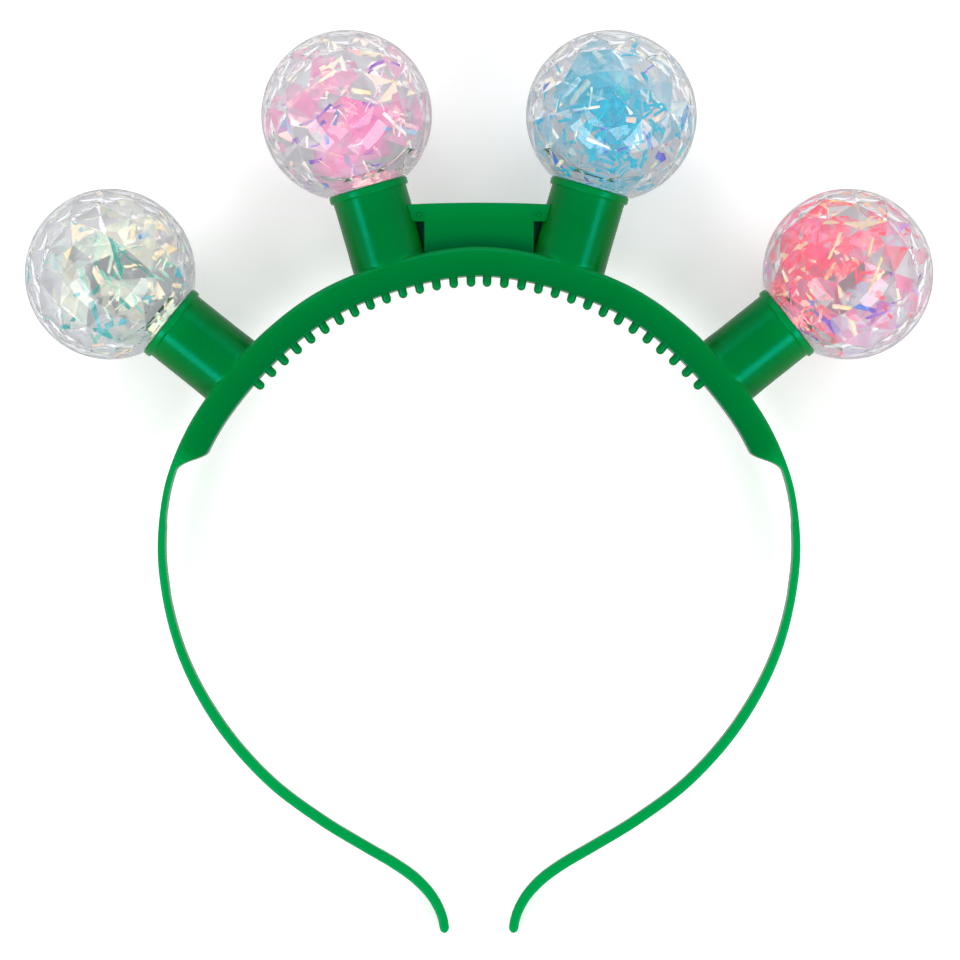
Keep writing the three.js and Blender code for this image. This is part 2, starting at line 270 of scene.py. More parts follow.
def green_plastic():
    plastic = bpy.data.materials.new("green_plastic")
    plastic.use_nodes = True
    tree = plastic.node_tree
    shader = tree.nodes["Principled BSDF"]
    # Painted light and shade: a share per point, high where light falls and low in shade, picks the green
    # from the ramp below, with a little random tone from noise.
    painted_light = add_node(tree, "ShaderNodeAttribute", attribute_name="painted_light_share")
    place = add_node(tree, "ShaderNodeTexCoord")
    flow = add_node(tree, "ShaderNodeTexNoise", Scale=45.0, Detail=3.0, Roughness=0.55)
    drift = add_node(tree, "ShaderNodeMath", operation="MULTIPLY_ADD")
    drift.inputs[1].default_value = 0.22
    shade = add_node(tree, "ShaderNodeMath", operation="ADD")
    shade.inputs[1].default_value = -0.11
    tones = add_node(tree, "ShaderNodeValToRGB")
    tones.color_ramp.elements[0].color = colour(0, 88, 22)
    tones.color_ramp.elements[1].color = colour(0, 134, 56)
    tones.color_ramp.elements.new(0.45).color = colour(0, 104, 28)
    tree.links.new(place.outputs["Object"], flow.inputs["Vector"])
    tree.links.new(flow.outputs["Fac"], drift.inputs[0])
    tree.links.new(painted_light.outputs["Fac"], drift.inputs[2])
    tree.links.new(drift.outputs[0], shade.inputs[0])
    tree.links.new(shade.outputs[0], tones.inputs["Fac"])
    tree.links.new(tones.outputs["Color"], shader.inputs["Base Color"])
    haze = add_node(tree, "ShaderNodeTexNoise", Scale=160.0, Detail=4.0)
    gloss = add_node(tree, "ShaderNodeMapRange")
    gloss.inputs["To Min"].default_value = 0.16
    gloss.inputs["To Max"].default_value = 0.32
    tree.links.new(place.outputs["Object"], haze.inputs["Vector"])
    tree.links.new(haze.outputs["Fac"], gloss.inputs["Value"])
    tree.links.new(gloss.outputs["Result"], shader.inputs["Roughness"])
    mould = add_node(tree, "ShaderNodeTexNoise", Scale=900.0, Detail=2.0)
    bump = add_node(tree, "ShaderNodeBump", Strength=0.06, Distance=0.0002)
    tree.links.new(place.outputs["Object"], mould.inputs["Vector"])
    tree.links.new(mould.outputs["Fac"], bump.inputs["Height"])
    tree.links.new(bump.outputs["Normal"], shader.inputs["Normal"])
    shader.inputs["Specular Tint"].default_value = (0.0, 1.0, 0.85, 1)
    shader.inputs["IOR"].default_value = 1.49
    shader.inputs["Specular IOR Level"].default_value = 0.4
    shader.inputs["Subsurface Weight"].default_value = 0.18
    shader.inputs["Subsurface Radius"].default_value = (0.3, 1.0, 0.6)
    shader.inputs["Subsurface Scale"].default_value = 0.0015
    return plastic


# Stores painted light and shade on each point, as a share from dark to light for the green's colour ramp.
def paint_light_and_shade(obj, painted_light_at):
    marks = obj.data.attributes.new("painted_light_share", "FLOAT", "POINT")
    marks.data.foreach_set("value", [painted_light_at(*v.co) for v in obj.data.vertices])


# Painted light and shade on the headband: lightest in the arms, light along the crown's outer edge and fading
# inwards, lighter on the teeth and towards the socket rims.
def headband_painted_light_at(x, y, z):
    angle = math.degrees(math.atan2(abs(x), y))
    radius = math.hypot(x, y)
    outer = np.interp(angle, *zip(*HOOP_EDGE))
    arm = float(ease(angle, *CROWN_STEP))
    if radius > outer + 0.4:
        up = max(radius * math.cos(math.radians(angle - a)) for a in map(abs, SOCKET_ANGLES))
        return 0.3 + 0.5 * float(ease(up, SOCKET_RIM - 4, SOCKET_RIM))
    inside = outer - radius
    crown = 0.75 * math.exp(-max(inside, 0) / 1.8) + 0.1 + (0.4 if inside > CROWN_THICK + 0.3 else 0)
    return arm * 0.95 + (1 - arm) * crown


headband = mesh_object("headband_moulding", [hoop_shell()])
combine(headband, mesh_object("sockets", [socket_shell(a) for a in SOCKET_ANGLES]))
combine(headband, mesh_object("teeth", [tooth_shell(s * a) for s in (-1, 1) for a in TOOTH_ANGLES]))
paint_light_and_shade(headband, headband_painted_light_at)
headband.data.transform(lying_down)
polish(headband, 32)
green = green_plastic()
headband.data.materials.append(green)
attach(headband, "root")
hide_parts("headband")


# Battery box: a T-shaped case of the same green plastic, clipped on the crown between the inner sockets.
# Its front is set back from the crown, two ears reach to the sockets with a small pip on each, and
# a deep slot is left down each side of the front panel.
BOX_TOP = 82.1
BOX_ARCH = 0.4
BOX_FRONT = 4.4
BOX_BACK = -7.6
BOX_FOOT = 70
PANEL_HALF = 12.45
EARS_HALF = 16.4
EARS_FOOT = 78.2
SLOT_HALF = 15.4
SLOT_FLOOR = -3.6
PIP_ROUND = 0.5
PIP_ACROSS = 13.5
PIP_UP = 79.8


def case_block(half_width, bottom, front):
    """A block with an arched top and softened edges, between the box's back and front."""
    across = np.linspace(half_width, -half_width, 25)
    arch = [(x, BOX_TOP + BOX_ARCH * (1 - (x / half_width) ** 2)) for x in across]
    outline = [(-half_width, bottom), (half_width, bottom)] + arch
    edges = [(0.5, BOX_BACK), (0.15, BOX_BACK + 0.15), (0, BOX_BACK + 0.5), (0, front - 0.5)]
    edges += [(0.07, front - 0.25), (0.15, front - 0.15), (0.25, front - 0.07), (0.5, front)]
    rings = []
    for inset, z in edges:
        ring = []
        for x, y in outline:
            side = 1 - inset / half_width
            y = min(max(y, bottom + inset), BOX_TOP + BOX_ARCH - inset)
            ring.append((x * side, y - (inset if y > BOX_TOP - 1 else 0) * 0.5, z))
        rings.append(ring)
    return skin_over(rings)


box = mesh_object("battery_box_case", [case_block(PANEL_HALF, BOX_FOOT, BOX_FRONT)])
combine(box, mesh_object("ears", [case_block(EARS_HALF, EARS_FOOT, BOX_FRONT)]))
combine(box, mesh_object("slot_floor", [case_block(SLOT_HALF, BOX_FOOT, SLOT_FLOOR)]))
pip = [(0, -PIP_ROUND)] + quarter(0, 0, PIP_ROUND, -75, 75, 10) + [(0, PIP_ROUND)]
pip_points, pip_faces = turned(pip, 24, 0)
combine(box, mesh_object("pips", [
    ([(x + side * PIP_ACROSS, y + PIP_UP, z + BOX_FRONT) for x, y, z in pip_points], pip_faces)
    for side in (-1, 1)
]))
room_radius = SOCKET_RADIUS + 0.15
socket_room = [(0, 60), (room_radius, 60), (room_radius, 95), (0, 95)]
for angle in SOCKET_ANGLES[1:3]:
    combine(box, mesh_object("room", [turned(socket_room, 96, angle)]), "DIFFERENCE")
crown_edge = [(x * 1.0005, y * 1.0005) for x, y in hoop_edge_line() if y > 40]
crown_room = [[(x, y, z) for x, y in crown_edge] for z in (30, -30)]
combine(box, mesh_object("room", [skin_over(crown_room)]), "DIFFERENCE")
# Painted light and shade: the case is lighter towards its top edge and darker further down.
paint_light_and_shade(box, lambda x, y, z: 0.15 + 0.45 * float(ease(y, 76, 82.3)))
box.data.transform(lying_down)
polish(box, 32)
box.data.materials.append(green)
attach(box, "root")
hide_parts("battery_box")


# Film: shreds of clear film with an iridescent coating, pushed loose into each ball, where they press
# against its wall. Each ball has film of its own colour with some violet and blue; the cream, white
# and gold strips are painted highlights, where a strip catches the light.
BALL_PATH = 106.6
FILM_ROOM = 18.1
FILM_FLOOR = 16.55
NECK_ROOM = 6.1
FILM_THICK = 0.04
FILM_SPREAD = 1.2
FILM_REACH = 0.97
STRIP_STEP = 0.9
SHEET_WIDTH = 2.2
SHEET_RIPPLE = 0.35
# through the ball a strip looks wider than it is
WIDTH_SEEN = 1.25
# The white, cream and gold tints are painted highlights: the light that film strips catch, painted into their
# colour.
FILM_TINTS = {
    "white": (255, 255, 250), "cream": (255, 250, 224), "peach": (255, 228, 204), "gold": (255, 236, 168),
    "khaki": (232, 212, 178), "clear": (226, 246, 234), "mint": (150, 214, 196), "teal": (20, 172, 152),
    "emerald": (0, 222, 190), "cyan": (0, 190, 212), "ice": (184, 222, 232), "sky": (84, 200, 218),
    "blue": (40, 140, 226), "steel": (130, 165, 205), "violet": (120, 92, 200), "lilac": (198, 150, 224),
    "rose": (255, 196, 220), "pink": (250, 156, 204), "coral": (255, 108, 124), "hot_pink": (255, 84, 140),
}
# loose shreds in each ball: how many, tints at the two ends, length, width, where they lie in the ball
# across, up and towards the front (1 is the wall), and how far they stray
LOOSE_FILM = {
    "film_1": [
        (12, "teal", "mint", 6.0, 0.6, (0.05, -0.1, 0.2), 0.35),
        (30, "cream", "peach", 2.4, 0.8, (0.4, 0.2, 0.3), 0.34),
        (14, "cream", "gold", 3.0, 0.7, (0.55, 0.35, 0.4), 0.22),
        (14, "sky", "mint", 2.4, 0.8, (-0.2, -0.4, 0.1), 0.48),
        (30, "mint", "cream", 4.0, 0.4, (0.1, 0.0, 0.3), 0.45),
        (12, "cream", "mint", 5.0, 0.4, (0.1, 0.1, 0.2), 0.5),
        (16, "clear", "cream", 10.0, 5.0, (0.1, 0.0, 0.0), 0.5),
        (14, "cream", "clear", 5.0, 2.0, (0.755, -0.6, 0.0), 0.1),
    ],
    "film_2": [
        (24, "rose", "pink", 11.0, 6.0, (0.0, -0.1, 0.0), 0.5),
        (8, "pink", "pink", 9.0, 5.0, (0.05, -0.2, 0.3), 0.28),
        (40, "white", "rose", 4.0, 0.4, (0.0, 0.0, 0.3), 0.45),
        (18, "violet", "lilac", 2.6, 0.5, (0.0, -0.1, 0.3), 0.45),
        (26, "cream", "white", 5.0, 0.5, (0.0, 0.3, 0.2), 0.45),
        (16, "pink", "peach", 4.0, 0.7, (0.1, 0.0, 0.3), 0.45),
        (14, "rose", "cream", 5.0, 2.0, (0.27, -0.925, 0.0), 0.1),
    ],
    "film_3": [
        (26, "cyan", "cyan", 9.0, 5.0, (0.0, -0.05, 0.2), 0.28),
        (110, "cyan", "cyan", 4.0, 0.6, (0.0, -0.1, 0.3), 0.32),
        (24, "ice", "sky", 11.0, 6.0, (0.0, 0.0, 0.0), 0.5),
        (16, "blue", "violet", 4.0, 0.5, (0.0, -0.2, 0.2), 0.48),
        (30, "cyan", "cyan", 4.0, 1.2, (0.0, -0.1, 0.3), 0.36),
        (30, "cream", "white", 5.0, 0.6, (0.0, 0.2, 0.2), 0.5),
        (14, "ice", "sky", 5.0, 2.0, (-0.27, -0.925, 0.0), 0.1),
    ],
    "film_4": [
        (28, "coral", "pink", 11.0, 6.0, (-0.2, 0.15, 0.0), 0.48),
        (16, "coral", "hot_pink", 9.0, 5.0, (-0.35, 0.4, 0.2), 0.3),
        (70, "coral", "coral", 4.0, 0.6, (-0.2, 0.2, 0.3), 0.38),
        (20, "rose", "ice", 10.0, 5.0, (0.35, -0.3, 0.1), 0.36),
        (30, "coral", "peach", 2.6, 0.7, (-0.5, -0.1, 0.4), 0.32),
        (16, "khaki", "gold", 6.0, 0.6, (0.0, 0.1, 0.1), 0.48),
        (10, "violet", "lilac", 5.0, 0.6, (0.0, -0.4, 0.2), 0.4),
        (14, "pink", "peach", 5.0, 2.0, (-0.755, -0.6, 0.0), 0.1),
    ],
}
# strips that lie in view just under the wall: across and up of the two ends, width, tints at the two ends
STRIPS_IN_VIEW = {
    "film_1": [
        (-3.1, 15.8, -0.4, 9.1, 1.1, "white", "white"), (-7.2, 11.8, -2.9, 9.0, 0.8, "white", "cream"),
        (-10.6, 11.0, -10.3, 8.8, 0.9, "cream", "peach"), (-0.1, 8.6, 2.8, 0.0, 0.9, "teal", "teal"),
        (2.9, 0.0, 7.0, -9.1, 0.7, "teal", "mint"), (-1.9, 0.0, 4.6, -7.7, 0.9, "mint", "teal"),
        (-3.5, -6.7, -1.5, -13.4, 0.8, "teal", "sky"), (-6.2, 0.8, -4.6, -4.8, 0.8, "mint", "mint"),
        (1.9, 5.4, 10.5, -1.6, 0.35, "teal", "teal"), (3.6, 8.6, 7.2, 11.5, 1.0, "cream", "peach"),
        (6.2, 9.4, 9.1, 11.3, 1.0, "cream", "cream"), (3.5, 6.7, 6.2, 7.5, 1.0, "cream", "white"),
        (4.6, 5.6, 8.4, 6.5, 0.9, "peach", "cream"), (6.4, 7.8, 8.6, 8.6, 1.0, "blue", "sky"),
        (12.6, 6.2, 14.5, 5.1, 1.1, "cream", "gold"), (10.2, 4.0, 12.2, 4.9, 1.0, "cream", "peach"),
        (15.6, 1.9, 15.7, -1.0, 1.1, "sky", "sky"), (-3.6, -15.8, -1.2, -15.6, 1.4, "peach", "peach"),
        (-0.5, -12.0, 1.2, -11.2, 1.2, "sky", "teal"), (2.7, -11.6, 4.0, -11.0, 1.0, "sky", "sky"),
        (-11.5, -11.8, -8.6, -11.2, 0.9, "sky", "teal"), (-11.4, 4.2, -11.2, 1.2, 0.8, "mint", "teal"),
        (5.2, -3.8, 6.6, -5.6, 1.1, "peach", "cream"), (7.4, -5.8, 9.0, -6.0, 1.1, "peach", "rose"),
    ],
    "film_2": [
        (-12.9, 2.0, -1.9, 9.5, 1.2, "cream", "cream"), (-5.9, 9.5, -1.1, 12.4, 1.2, "cream", "cream"),
        (-1.0, 12.7, 0.2, 9.5, 1.0, "cream", "white"), (-3.3, 16.2, -2.6, 14.6, 0.9, "white", "cream"),
        (-8.6, 12.7, -5.1, 13.0, 0.9, "white", "white"), (-15.3, 5.4, -13.0, 9.5, 0.7, "white", "white"),
        (2.8, 13.5, 8.7, 12.8, 1.2, "cream", "cream"), (11.8, 7.9, 13.0, 10.8, 0.9, "white", "white"),
        (13.6, 10.0, 13.8, 7.0, 0.7, "white", "cream"), (10.0, 7.4, 12.4, 6.0, 1.4, "gold", "cream"),
        (8.4, 0.0, 14.6, -6.2, 0.8, "white", "cream"), (10.3, 0.5, 14.0, -0.6, 0.9, "cream", "peach"),
        (11.6, -1.4, 16.2, -3.5, 1.0, "cream", "rose"), (-4.6, 3.4, -4.1, 5.5, 1.0, "cream", "cream"),
        (1.5, 5.2, 5.8, 4.4, 1.0, "cream", "gold"), (-0.5, -9.9, 3.9, -14.2, 1.1, "cyan", "steel"),
        (-7.0, -1.4, -3.3, 2.0, 1.2, "blue", "violet"), (-5.9, -2.7, -4.3, -1.7, 1.6, "steel", "violet"),
        (-2.7, -3.3, -1.9, 0.2, 1.0, "steel", "steel"), (3.6, 2.0, 6.3, 1.3, 1.1, "violet", "steel"),
        (-4.3, -4.6, -3.8, -6.5, 1.0, "steel", "blue"), (-7.8, -10.5, -5.7, -10.2, 1.0, "violet", "violet"),
        (5.8, 10.3, 8.4, 11.6, 1.2, "violet", "lilac"), (9.0, -3.0, 16.4, -4.0, 1.2, "steel", "ice"),
    ],
    "film_3": [
        (-4.0, 13.6, -0.9, 10.9, 1.3, "cream", "peach"), (-1.9, 15.8, 3.4, 10.9, 1.5, "white", "white"),
        (3.1, 14.4, 10.1, 12.5, 0.9, "cream", "cream"), (10.1, 12.5, 13.0, 10.2, 1.0, "cream", "white"),
        (-15.8, 6.4, -13.2, 7.7, 1.2, "white", "cream"), (-11.8, 2.7, -7.0, 7.4, 1.2, "white", "white"),
        (-9.4, 2.4, -5.4, 7.2, 1.2, "peach", "cream"), (-16.2, -2.6, -13.4, 1.1, 0.9, "cyan", "blue"),
        (5.7, 8.8, 9.5, 2.7, 0.7, "cream", "peach"), (9.8, -1.9, 15.6, 2.7, 1.1, "peach", "cream"),
        (14.8, -0.5, 16.2, 3.2, 1.2, "white", "white"), (2.9, -1.2, 4.7, -1.3, 1.1, "peach", "peach"),
        (-14.6, -8.4, -13.1, -6.1, 0.9, "cream", "gold"), (-12.0, -11.8, -11.2, -10.6, 1.0, "gold", "cream"),
        (-15.6, -6.2, -14.2, -5.9, 1.6, "cyan", "emerald"), (0.2, 9.8, 1.8, 6.9, 1.5, "cyan", "emerald"),
        (1.8, 6.9, 3.7, 2.7, 1.6, "emerald", "cyan"), (-9.9, 1.1, -7.0, 2.1, 1.8, "cyan", "cyan"),
        (-5.9, -5.3, -4.6, -1.9, 1.6, "cyan", "sky"), (-1.1, 0.5, -1.3, -8.0, 0.9, "cyan", "blue"),
        (2.6, -2.1, 2.9, -5.1, 1.9, "cyan", "cyan"), (4.6, -2.1, 5.0, -6.1, 1.8, "cyan", "cyan"),
        (7.1, 2.7, 8.2, 0.5, 2.0, "cyan", "cyan"), (10.1, -10.1, 11.7, -9.6, 1.3, "blue", "violet"),
        (15.8, 4.6, 16.4, 1.4, 1.2, "violet", "blue"), (-8.6, -7.0, -7.9, -3.6, 1.0, "white", "cream"),
    ],
    "film_4": [
        (-15.6, 3.8, -9.0, 6.3, 1.2, "khaki", "khaki"), (-6.1, 11.1, 6.9, 11.3, 1.1, "khaki", "khaki"),
        (6.9, 11.3, 8.8, 12.4, 1.3, "gold", "gold"), (-8.5, 14.6, -8.5, 11.8, 1.2, "khaki", "khaki"),
        (-7.2, 15.4, -4.0, 14.2, 1.0, "khaki", "gold"), (-4.0, 15.7, 0.3, 15.9, 1.0, "gold", "khaki"),
        (0.3, 15.6, 2.4, 13.8, 1.0, "khaki", "khaki"), (-10.9, 1.8, -8.5, -0.4, 1.2, "khaki", "khaki"),
        (-10.4, -6.0, -6.1, -9.7, 0.7, "steel", "violet"), (-6.1, -9.7, -2.7, -12.9, 1.4, "violet", "violet"),
        (-2.7, -12.9, -0.6, -14.6, 1.0, "steel", "white"), (-1.3, -8.4, 1.9, -14.4, 1.3, "gold", "cream"),
        (0.8, -7.6, 6.1, -8.4, 1.1, "blue", "violet"), (-4.0, -7.3, 0.3, -7.6, 1.2, "peach", "gold"),
        (-11.7, -8.9, -8.8, -8.9, 1.0, "peach", "coral"), (10.9, -3.3, 11.4, -7.6, 0.9, "cream", "gold"),
        (7.3, -7.0, 9.0, -9.9, 0.9, "hot_pink", "coral"), (5.9, -1.2, 7.4, 0.2, 0.7, "gold", "cream"),
        (13.8, 3.1, 15.4, 0.4, 1.0, "steel", "lilac"), (10.8, 9.3, 12.6, 10.6, 1.0, "lilac", "lilac"),
        (-14.6, 0.6, -13.4, -1.8, 0.9, "white", "gold"), (0.2, 3.0, 1.4, 2.4, 1.2, "gold", "cream"),
    ],
}


def keep_inside(point, neck):
    """Holds a point of film inside the ball's wall, and above the seat unless it is in the neck's mouth."""
    point = point * min(1, FILM_ROOM / np.linalg.norm(point))
    down = point.dot(neck)
    aside = point - neck * down
    if down > FILM_FLOOR and np.linalg.norm(aside) > NECK_ROOM:
        return aside + neck * FILM_FLOOR
    return point


def shred(rng, start, end, width, facing, neck):
    """A strip of film between two points in the ball, bent and twisted."""
    length = np.linalg.norm(end - start)
    heading = (end - start) / length
    across = np.cross(heading, facing)
    across /= np.linalg.norm(across)
    up = np.cross(across, heading)
    bend, twist, kink = rng.uniform(-0.2, 0.2), rng.uniform(-0.6, 0.6), rng.uniform(-0.3, 0.3)
    ripple = rng.uniform(0, 6.3, 2)
    along_steps = max(4, round(length / STRIP_STEP))
    across_steps = 5 if width > SHEET_WIDTH else 1
    points, faces, ends = [], [], []
    for t in np.linspace(-0.5, 0.5, along_steps + 1):
        spine = (start + end) / 2 + heading * t * length
        spine = spine + up * (bend * (t * t - 0.1) + kink * max(0, abs(t) - 0.25)) * length
        out = across * math.cos(twist * t) + up * math.sin(twist * t)
        for w in np.linspace(-0.5, 0.5, across_steps + 1) * width:
            point = spine + out * w
            if across_steps > 1:
                wave = math.sin(t * length * 1.1 + w * 0.9 + ripple[0])
                wave += math.sin(w * 1.5 - t * length * 0.6 + ripple[1])
                point = point + up * SHEET_RIPPLE * wave
            points.append(keep_inside(point, neck))
            ends.append(t + 0.5)
    for i in range(along_steps):
        for j in range(across_steps):
            a = i * (across_steps + 1) + j
            faces.append((a, a + 1, a + across_steps + 2, a + across_steps + 1))
    return points, faces, ends


def loose_shreds(rng, kinds, neck):
    for count, start, end, length, width, middle, stray in kinds:
        for _ in range(count):
            centre = np.array(middle) + rng.normal(0, stray, 3) * FILM_SPREAD
            centre *= min(1, FILM_REACH / np.linalg.norm(centre)) * FILM_ROOM
            heading = rng.normal(0, 1, 3)
            heading -= centre * heading.dot(centre) / (centre.dot(centre) + 20)
            half = heading / np.linalg.norm(heading) * length * rng.uniform(0.3, 0.7)
            facing = centre / (np.linalg.norm(centre) + 1e-6) + rng.normal(0, 0.5, 3)
            strip = shred(rng, centre - half, centre + half, width * rng.uniform(0.7, 1.25), facing, neck)
            yield strip, start, end, width > SHEET_WIDTH


def strips_in_view(rng, rows, neck):
    """Each strip lies once under the front of the ball and once, the other way round, under its back."""
    for side in (1, -1):
        for x1, y1, x2, y2, width, start, end in rows:
            under = side * rng.uniform(0.6, 0.95, 2)
            first, last = (
                np.array((side * x, y, share * math.sqrt(max(1, FILM_ROOM ** 2 - x * x - y * y))))
                for x, y, share in ((x1, y1, under[0]), (x2, y2, under[1]))
            )
            facing = rng.normal(0, 0.2, 3) + (0, 0, 1)
            strip = shred(rng, first, last, width / WIDTH_SEEN, facing, neck)
            yield strip, start, end, False


def film_coating(name, body, painted_glow):
    film = bpy.data.materials.new(name)
    film.use_nodes = True
    tree = film.node_tree
    shader = tree.nodes["Principled BSDF"]
    tint = add_node(tree, "ShaderNodeVertexColor", layer_name="tint")
    place = add_node(tree, "ShaderNodeTexCoord")
    patches = add_node(tree, "ShaderNodeTexNoise", Scale=420.0, Detail=2.0)
    brighten = add_node(tree, "ShaderNodeMapRange")
    brighten.inputs["To Min"].default_value = 0.86
    brighten.inputs["To Max"].default_value = 1.12
    shift = add_node(tree, "ShaderNodeHueSaturation", Saturation=1.0)
    tree.links.new(place.outputs["Object"], patches.inputs["Vector"])
    tree.links.new(patches.outputs["Fac"], brighten.inputs["Value"])
    tree.links.new(brighten.outputs["Result"], shift.inputs["Value"])
    tree.links.new(tint.outputs["Color"], shift.inputs["Color"])
    tree.links.new(shift.outputs["Color"], shader.inputs["Base Color"])
    tree.links.new(shift.outputs["Color"], shader.inputs["Emission Color"])
    # Painted light: the film glows by its own emission, so it looks brighter than the light that reaches it
    # inside the ball.
    shader.inputs["Emission Strength"].default_value = painted_glow
    shader.inputs["Roughness"].default_value = 0.15
    shader.inputs["IOR"].default_value = 1.55
    shader.inputs["Alpha"].default_value = body
    shader.inputs["Thin Film Thickness"].default_value = 480
    shader.inputs["Thin Film IOR"].default_value = 1.8
    return film


strip_film = film_coating("strip_film", 0.9, 0.65)
sheet_film = film_coating("sheet_film", 0.3, 0.5)
for number, node in enumerate(LOOSE_FILM):
    rng = np.random.default_rng(40 + number)
    around = math.radians(SOCKET_ANGLES[number])
    neck = -np.array((math.sin(around), math.cos(around), 0))
    shreds = [*strips_in_view(rng, STRIPS_IN_VIEW[node], neck), *loose_shreds(rng, LOOSE_FILM[node], neck)]
    tints, kinds = [], []
    for (points, faces, ends), start, end, is_sheet in shreds:
        first, last = np.array(colour(*FILM_TINTS[start])), np.array(colour(*FILM_TINTS[end]))
        tints += [(1 - e) * first + e * last for e in ends]
        kinds += [int(is_sheet)] * len(faces)
    film = mesh_object(f"{node}_shreds", [(points, faces) for (points, faces, _), *_ in shreds])
    tint = film.data.color_attributes.new("tint", "FLOAT_COLOR", "POINT")
    tint.data.foreach_set("color", np.ravel(tints))
    film.data.materials.append(strip_film)
    film.data.materials.append(sheet_film)
    film.data.polygons.foreach_set("material_index", kinds)
    film.data.shade_smooth()
    film.data.transform(lying_down @ Matrix.Translation(-BALL_PATH * Vector(neck)))
    thickness = film.modifiers.new("thickness", "SOLIDIFY")
    thickness.thickness = FILM_THICK * MM
    thickness.offset = 0
    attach(film, "root")
    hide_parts(node)


# Balls: hollow globes moulded in clear plastic, smooth and polished outside and cut in star-shaped facets
# inside. Each sits with a flat seat on its socket's rim, and its open neck is pushed down into the socket.
BALL_RADIUS = 19.3
SEAT_GAP = 0.05
SEAT_THICK = 0.2
BALL_SEAT = BALL_PATH - SOCKET_RIM - SEAT_GAP
BALL_FLOOR = BALL_SEAT - SEAT_THICK
FLOOR_RADIUS = 9.0
POCKET_TOP = -14.6
POCKET_INSET = 0.05
FACET_CORNER = 18.9
FACET_MIDDLE = 18.25
FACET_SPLIT = 3
NECK_RADIUS = 6.9
NECK_BORE = 6.2
NECK_END = -BALL_SEAT - 8


def globe_shell():
    low = math.degrees(math.asin(-BALL_SEAT / BALL_RADIUS))
    profile = [(0, NECK_END), (NECK_RADIUS - 0.3, NECK_END), (NECK_RADIUS, NECK_END + 0.3)]
    profile += [(NECK_RADIUS, -BALL_SEAT)]
    profile += quarter(0, 0, BALL_RADIUS, low, 88, 56) + [(0, BALL_RADIUS)]
    return turned(profile, 112, 0)


def star_cut_shell():
    """The hollow inside: a globe of triangles, each dented at its middle, with a flat floor over the seat."""
    golden = (1 + math.sqrt(5)) / 2
    corners = [Vector(p).normalized() for p in (
        (-1, golden, 0), (1, golden, 0), (-1, -golden, 0), (1, -golden, 0),
        (0, -1, golden), (0, 1, golden), (0, -1, -golden), (0, 1, -golden),
        (golden, 0, -1), (golden, 0, 1), (-golden, 0, -1), (-golden, 0, 1),
    )]
    side = 1.01 * min((a - b).length for a in corners for b in corners if a != b)
    big = [
        (a, b, c) for i, a in enumerate(corners) for j, b in enumerate(corners[:i]) for c in corners[:j]
        if max((a - b).length, (b - c).length, (a - c).length) < side
    ]
    numbers, faces = {}, []

    def point_number(point, radius):
        x, y, z = point.normalized() * radius
        across = math.hypot(x, z)
        if y < -BALL_FLOOR:
            spread = FLOOR_RADIUS / across if across > 1 else 1
            x, y, z = x * spread, -BALL_FLOOR, z * spread
        return numbers.setdefault((round(x, 4), round(y, 4), round(z, 4)), len(numbers))

    steps = [(i, j) for i in range(FACET_SPLIT) for j in range(FACET_SPLIT - i)]
    small = [((i, j), (i + 1, j), (i, j + 1)) for i, j in steps]
    small += [((i + 1, j), (i + 1, j + 1), (i, j + 1)) for i, j in steps if i + j < FACET_SPLIT - 1]
    for a, b, c in big:
        for places in small:
            p, q, r = ((a * i + b * j + c * (FACET_SPLIT - i - j)).normalized() for i, j in places)
            if (q - p).cross(r - p).dot(p) < 0:
                q, r = r, q
            middle = point_number(p + q + r, FACET_MIDDLE)
            for start, end in ((p, q), (q, r), (r, p)):
                edge = point_number(start, FACET_CORNER), point_number(end, FACET_CORNER)
                faces.append((*edge, middle))
    return list(numbers), faces


def clear_plastic():
    clear = bpy.data.materials.new("clear_plastic")
    clear.use_nodes = True
    tree = clear.node_tree
    shader = tree.nodes["Principled BSDF"]
    place = add_node(tree, "ShaderNodeTexCoord")
    smears = add_node(tree, "ShaderNodeTexNoise", Scale=70.0, Detail=3.0)
    gloss = add_node(tree, "ShaderNodeMapRange")
    gloss.inputs["From Min"].default_value = 0.4
    gloss.inputs["To Min"].default_value = 0.0
    gloss.inputs["To Max"].default_value = 0.035
    tree.links.new(place.outputs["Object"], smears.inputs["Vector"])
    tree.links.new(smears.outputs["Fac"], gloss.inputs["Value"])
    tree.links.new(gloss.outputs["Result"], shader.inputs["Roughness"])
    # Painted shade: the plastic is clear, and this grey tint darkens everything seen through the balls.
    shader.inputs["Base Color"].default_value = (0.75, 0.755, 0.775, 1)
    shader.inputs["Transmission Weight"].default_value = 1.0
    shader.inputs["IOR"].default_value = 1.49
    return clear


clear = clear_plastic()
# the bore widens over the seat into a smooth pocket, just inside the facets' corners
neck_bore = [(0, NECK_END - 1), (NECK_BORE, NECK_END - 1), (NECK_BORE, -BALL_FLOOR)]
pocket = np.linspace(-BALL_FLOOR, POCKET_TOP, 4)
pocket_radius = FACET_CORNER - POCKET_INSET
neck_bore += [(math.sqrt(pocket_radius ** 2 - y * y), y) for y in pocket] + [(0, POCKET_TOP)]
for number, angle in enumerate(SOCKET_ANGLES):
    ball = mesh_object(f"ball_{number + 1}_globe", [globe_shell()])
    combine(ball, mesh_object("hollow", [star_cut_shell()]), "DIFFERENCE")
    combine(ball, mesh_object("bore", [turned(neck_bore, 64, 0)]), "DIFFERENCE")
    outside = [face.center.length > FACET_CORNER + 0.1 for face in ball.data.polygons]
    ball.data.polygons.foreach_set("use_smooth", outside)
    lean = Matrix.Rotation(-math.radians(angle), 4, "Z")
    ball.data.transform(lying_down @ lean @ Matrix.Translation((0, BALL_PATH, 0)))
    ball.data.materials.append(clear)
    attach(ball, "root")
    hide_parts(f"ball_{number + 1}")


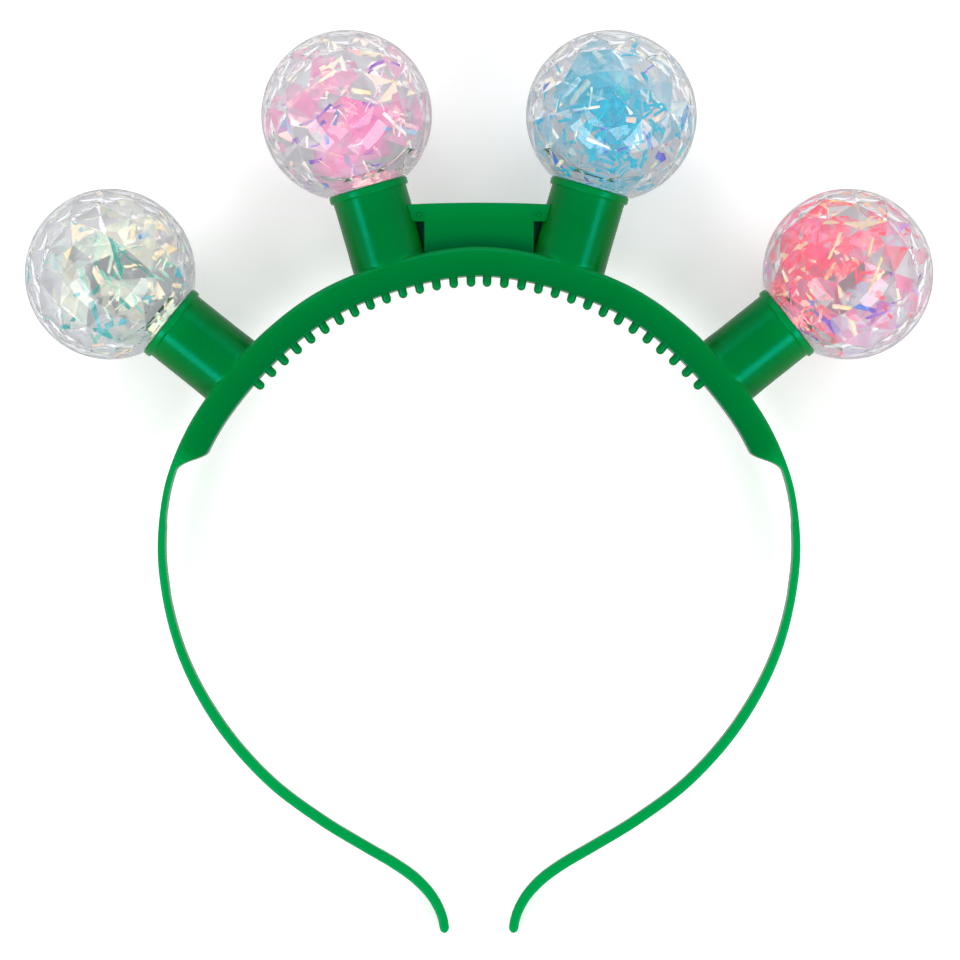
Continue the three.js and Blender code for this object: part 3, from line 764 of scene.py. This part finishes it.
# Studio: a plain white table in a soft bright room, with a wide soft light on each side and one past the top,
# seen from above at the photograph's angle. Gloss shows the room and not the table, so the green stays clean.
TABLE_HALF = 3
TABLE_TOP = -0.0002
table_corners = [(x * TABLE_HALF, y * TABLE_HALF, TABLE_TOP) for x, y in ((-1, -1), (1, -1), (1, 1), (-1, 1))]
table = mesh_object("table", [(table_corners, [(0, 1, 2, 3)])])
paper = bpy.data.materials.new("white_table")
paper.use_nodes = True
paper_shader = paper.node_tree.nodes["Principled BSDF"]
paper_shader.inputs["Base Color"].default_value = (0.95, 0.95, 0.95, 1)
paper_shader.inputs["Roughness"].default_value = 0.9
paper_shader.inputs["Emission Color"].default_value = (1, 1, 1, 1)
paper_shader.inputs["Emission Strength"].default_value = 0.22
paper_shader.inputs["Specular IOR Level"].default_value = 0.1
table.data.materials.append(paper)
table.visible_glossy = False

room = bpy.data.worlds.new("room")
room.use_nodes = True
bpy.context.scene.world = room
room_tree = room.node_tree
direction = add_node(room_tree, "ShaderNodeTexCoord")
height = add_node(room_tree, "ShaderNodeSeparateXYZ")
walls = add_node(room_tree, "ShaderNodeValToRGB")
walls.color_ramp.elements[0].color = (0.6, 0.6, 0.6, 1)
walls.color_ramp.elements[1].position = 0.1
room_tree.links.new(direction.outputs["Generated"], height.inputs["Vector"])
room_tree.links.new(height.outputs["Z"], walls.inputs["Fac"])
room_tree.links.new(walls.outputs["Color"], room_tree.nodes["Background"].inputs["Color"])
room_tree.nodes["Background"].inputs["Strength"].default_value = 0.8

flat_frame = Matrix.Translation(Vector(LYING_SHIFT) * MM) @ Matrix.Rotation(LYING_TILT, 4, "X")


def soft_light(name, towards, long_side, distance, size, power):
    lamp = bpy.data.lights.new(name, "AREA")
    lamp.shape = "RECTANGLE"
    lamp.size, lamp.size_y = size
    lamp.energy = power
    light = bpy.data.objects.new(name, lamp)
    back = Vector(towards).normalized()
    across = Vector(long_side).cross(back).normalized()
    turn = Matrix((across, back.cross(across), back)).transposed().to_4x4()
    light.matrix_world = flat_frame @ Matrix.Translation(back * distance) @ turn
    bpy.context.scene.collection.objects.link(light)


soft_light("left_light", (-0.60, -0.38, 0.70), (0.66, -0.75, 0), 1.2, (0.4, 0.85), 6.5)
soft_light("right_light", (0.60, -0.38, 0.70), (-0.66, -0.75, 0), 1.2, (0.4, 0.85), 6.5)
soft_light("top_light", (0.0, 0.80, 0.60), (0, 1, 0), 1.5, (1.6, 0.7), 5)

CAMERA_AWAY = 2600
VIEW_WIDTH = 216.96
VIEW_MIDDLE = (0.226, 19.9)
lens = bpy.data.cameras.new("camera")
lens.sensor_width = 36
lens.lens = lens.sensor_width * CAMERA_AWAY / VIEW_WIDTH
lens.clip_end = 20
camera = bpy.data.objects.new("camera", lens)
camera.matrix_world = flat_frame @ Matrix.Translation(Vector((*VIEW_MIDDLE, CAMERA_AWAY)) * MM)
bpy.context.scene.collection.objects.link(camera)
bpy.context.scene.camera = camera
bpy.context.scene.view_settings.view_transform = "Standard"
# light is thrown about many times in the facets and the film
LIGHT_TURNS = 64
bpy.context.scene.cycles.max_bounces = LIGHT_TURNS
bpy.context.scene.cycles.glossy_bounces = LIGHT_TURNS
bpy.context.scene.cycles.transmission_bounces = LIGHT_TURNS
bpy.context.scene.cycles.transparent_max_bounces = LIGHT_TURNS
